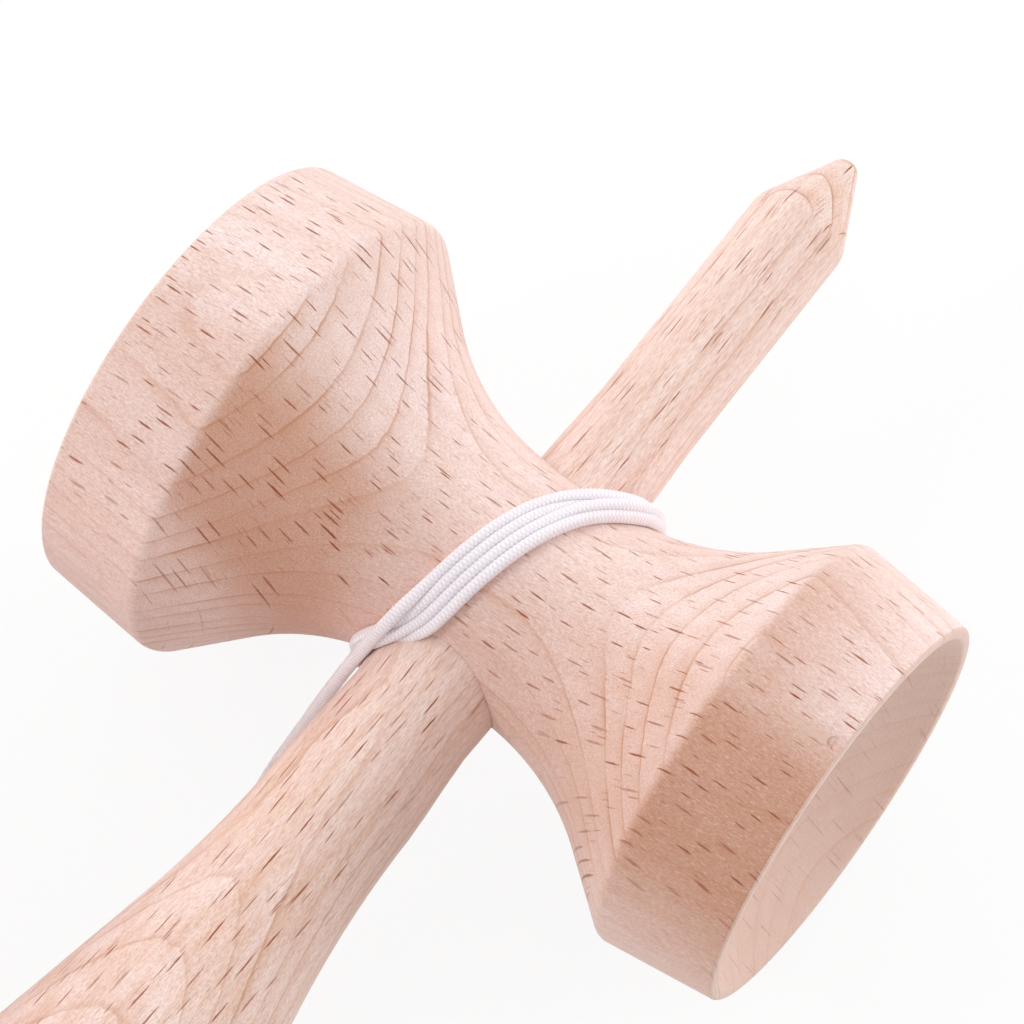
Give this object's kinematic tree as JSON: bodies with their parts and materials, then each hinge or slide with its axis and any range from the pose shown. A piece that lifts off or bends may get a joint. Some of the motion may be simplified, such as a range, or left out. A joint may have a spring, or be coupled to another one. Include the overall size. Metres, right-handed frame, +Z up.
{
  "type": "cup and ball toy",
  "caption": "Turned beech cup and ball toy lying on its side: a spiked handle, a double-cup cross-piece with its white string wound round the waist, and a drilled ball on the string's end",
  "frame": {"origin": "on the table under the middle of the box around ken, cross-piece and ball; the string is left out", "axes": "+Y the way the spike points, in plan; +X the way the small cup faces, in plan; +Z up from the table"},
  "size_m": [0.1158, 0.1711, 0.0601],
  "materials": {
    "beech_ken": "plain sanded beech, grain along the ken",
    "beech_cross": "plain sanded beech, grain along the cross-piece",
    "beech_ball": "plain sanded beech",
    "beech_bead": "plain sanded beech",
    "cord": "white braided nylon string"
  },
  "bodies": {
    "ken": {"ken": "beech_ken"},
    "cross_piece": {"cross_piece": "beech_cross", "string_winding": "cord", "anchor_knot": "cord"},
    "tether": {"string_free": "cord", "bead": "beech_bead", "bead_knot": "cord"},
    "ball": {"ball": "beech_ball"}
  },
  "joints": [
    {"name": "cross_slide", "type": "slide", "parent": "ken", "child": "cross_piece", "axis": [0, 0.999, 0.0451], "range_m": [0, 0.07]},
    {"name": "ball_swing", "type": "hinge", "parent": "cross_piece", "child": "tether", "pos_m": [0.0102, 0.00331, 0.005], "axis": [0, 0, 1], "range_deg": [-45, 0]},
    {"name": "ball_spin", "type": "hinge", "parent": "tether", "child": "ball", "pos_m": [-0.0279, -0.04238, 0.03], "axis": [0, 1, 0], "continuous": true}
  ]
}
